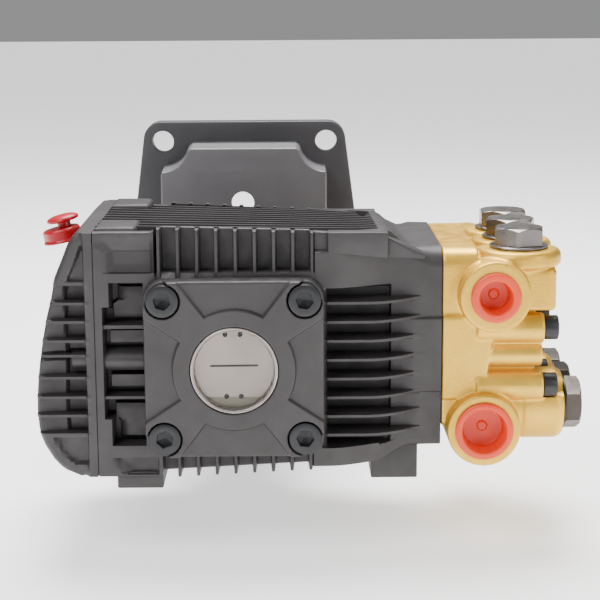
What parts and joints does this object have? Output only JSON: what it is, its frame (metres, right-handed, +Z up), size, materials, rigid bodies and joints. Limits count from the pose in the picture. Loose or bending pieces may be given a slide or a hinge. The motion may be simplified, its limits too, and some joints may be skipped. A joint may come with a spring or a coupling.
{
  "type": "triplex plunger pump",
  "caption": "Finned crankcase with a flanged engine mount on one side and a brass valve manifold at one end, driving three plungers for high-pressure water.",
  "frame": {"origin": "bottom centre of the bounding box; the crank axis is parallel to Y", "axes": "+Y from the side cover towards the engine, +X from the rear cover towards the brass manifold, +Z up"},
  "size_m": [0.2252, 0.209, 0.164],
  "materials": {
    "cast_aluminium": "dark satin casting",
    "forged_brass": "matt forged",
    "plated_steel": "dull plated",
    "black_screw_steel": "black oxide",
    "machined_steel": "machined",
    "rubber": "matt",
    "orange_plastic": "satin moulded",
    "red_plastic": "moulded",
    "clear_plastic": "clear"
  },
  "bodies": {
    "pump_body": {"crankcase": "cast_aluminium", "rear_cover": "cast_aluminium", "side_cover": "cast_aluminium", "engine_flange": "cast_aluminium", "manifold": "forged_brass", "far_outlet_plug": "forged_brass", "far_inlet_plug": "forged_brass", "delivery_cap_1": "plated_steel", "delivery_cap_2": "plated_steel", "delivery_cap_3": "plated_steel", "suction_cap_1": "plated_steel", "suction_cap_2": "plated_steel", "suction_cap_3": "plated_steel", "cover_screw_1": "black_screw_steel", "cover_screw_2": "black_screw_steel", "cover_screw_3": "black_screw_steel", "cover_screw_4": "black_screw_steel", "flange_screw_1": "black_screw_steel", "flange_screw_2": "black_screw_steel", "flange_screw_3": "black_screw_steel", "flange_screw_4": "black_screw_steel", "rear_screw_1": "black_screw_steel", "rear_screw_2": "black_screw_steel", "rear_screw_3": "black_screw_steel", "rear_screw_4": "black_screw_steel", "head_screw_1": "black_screw_steel", "head_screw_2": "black_screw_steel", "head_screw_3": "black_screw_steel", "head_screw_4": "black_screw_steel", "head_screw_5": "black_screw_steel", "head_screw_6": "black_screw_steel", "head_screw_7": "black_screw_steel", "head_screw_8": "black_screw_steel", "near_bearing": "machined_steel", "far_bearing": "machined_steel", "sight_plate": "machined_steel", "rear_cover_gasket": "rubber", "side_cover_seal": "rubber", "shaft_seal": "rubber", "packing_1": "rubber", "packing_2": "rubber", "packing_3": "rubber", "sight_window": "clear_plastic"},
    "crank": {"crankshaft": "machined_steel"},
    "rod_body_1": {"con_rod_1": "cast_aluminium"},
    "plunger_body_1": {"plunger_1": "machined_steel"},
    "delivery_valve_body_1": {"delivery_valve_1": "machined_steel"},
    "suction_valve_body_1": {"suction_valve_1": "machined_steel"},
    "rod_body_2": {"con_rod_2": "cast_aluminium"},
    "plunger_body_2": {"plunger_2": "machined_steel"},
    "delivery_valve_body_2": {"delivery_valve_2": "machined_steel"},
    "suction_valve_body_2": {"suction_valve_2": "machined_steel"},
    "rod_body_3": {"con_rod_3": "cast_aluminium"},
    "plunger_body_3": {"plunger_3": "machined_steel"},
    "delivery_valve_body_3": {"delivery_valve_3": "machined_steel"},
    "suction_valve_body_3": {"suction_valve_3": "machined_steel"},
    "oil_cap_body": {"oil_filler_cap": "red_plastic"},
    "outlet_plug_body": {"outlet_plug": "orange_plastic"},
    "inlet_plug_body": {"inlet_plug": "orange_plastic"}
  },
  "joints": [
    {"name": "crank_spin", "type": "hinge", "parent": "pump_body", "child": "crank", "pos_m": [-0.03, -0.0445, 0.08198], "axis": [0, 1, 0], "continuous": true},
    {"name": "rod_swing_1", "type": "hinge", "parent": "crank", "child": "rod_body_1", "pos_m": [-0.026, -0.0705, 0.08198], "axis": [0, 1, 0], "continuous": true},
    {"name": "rod_swing_2", "type": "hinge", "parent": "crank", "child": "rod_body_2", "pos_m": [-0.032, -0.0445, 0.08544], "axis": [0, 1, 0], "continuous": true},
    {"name": "rod_swing_3", "type": "hinge", "parent": "crank", "child": "rod_body_3", "pos_m": [-0.032, -0.0185, 0.07852], "axis": [0, 1, 0], "continuous": true},
    {"name": "plunger_stroke_1", "type": "slide", "parent": "pump_body", "child": "plunger_body_1", "axis": [1, 0, 0], "range_m": [-0.008, 0]},
    {"name": "plunger_stroke_2", "type": "slide", "parent": "pump_body", "child": "plunger_body_2", "axis": [1, 0, 0], "range_m": [-0.002, 0.006]},
    {"name": "plunger_stroke_3", "type": "slide", "parent": "pump_body", "child": "plunger_body_3", "axis": [1, 0, 0], "range_m": [-0.002, 0.006]},
    {"name": "delivery_valve_lift_1", "type": "slide", "parent": "pump_body", "child": "delivery_valve_body_1", "axis": [0, 0, 1], "range_m": [0, 0.002], "stiffness_N_per_m": 300, "springref_m": -0.004},
    {"name": "delivery_valve_lift_2", "type": "slide", "parent": "pump_body", "child": "delivery_valve_body_2", "axis": [0, 0, 1], "range_m": [0, 0.002], "stiffness_N_per_m": 300, "springref_m": -0.004},
    {"name": "delivery_valve_lift_3", "type": "slide", "parent": "pump_body", "child": "delivery_valve_body_3", "axis": [0, 0, 1], "range_m": [0, 0.002], "stiffness_N_per_m": 300, "springref_m": -0.004},
    {"name": "suction_valve_lift_1", "type": "slide", "parent": "pump_body", "child": "suction_valve_body_1", "axis": [1, 0, 0], "range_m": [0, 0.002], "stiffness_N_per_m": 150, "springref_m": -0.004},
    {"name": "suction_valve_lift_2", "type": "slide", "parent": "pump_body", "child": "suction_valve_body_2", "axis": [1, 0, 0], "range_m": [0, 0.002], "stiffness_N_per_m": 150, "springref_m": -0.004},
    {"name": "suction_valve_lift_3", "type": "slide", "parent": "pump_body", "child": "suction_valve_body_3", "axis": [1, 0, 0], "range_m": [0, 0.002], "stiffness_N_per_m": 150, "springref_m": -0.004},
    {"name": "oil_cap_lift", "type": "slide", "parent": "pump_body", "child": "oil_cap_body", "axis": [0, 0, 1], "range_m": [0, 0.025]},
    {"name": "outlet_plug_pull", "type": "slide", "parent": "pump_body", "child": "outlet_plug_body", "axis": [0, -1, 0], "range_m": [0, 0.015]},
    {"name": "inlet_plug_pull", "type": "slide", "parent": "pump_body", "child": "inlet_plug_body", "axis": [0, -1, 0], "range_m": [0, 0.015]}
  ],
  "couplings": [
    {"joint": "rod_swing_1", "follows": "crank_spin", "ratio": -1},
    {"joint": "rod_swing_2", "follows": "crank_spin", "ratio": -1},
    {"joint": "rod_swing_3", "follows": "crank_spin", "ratio": -1}
  ]
}
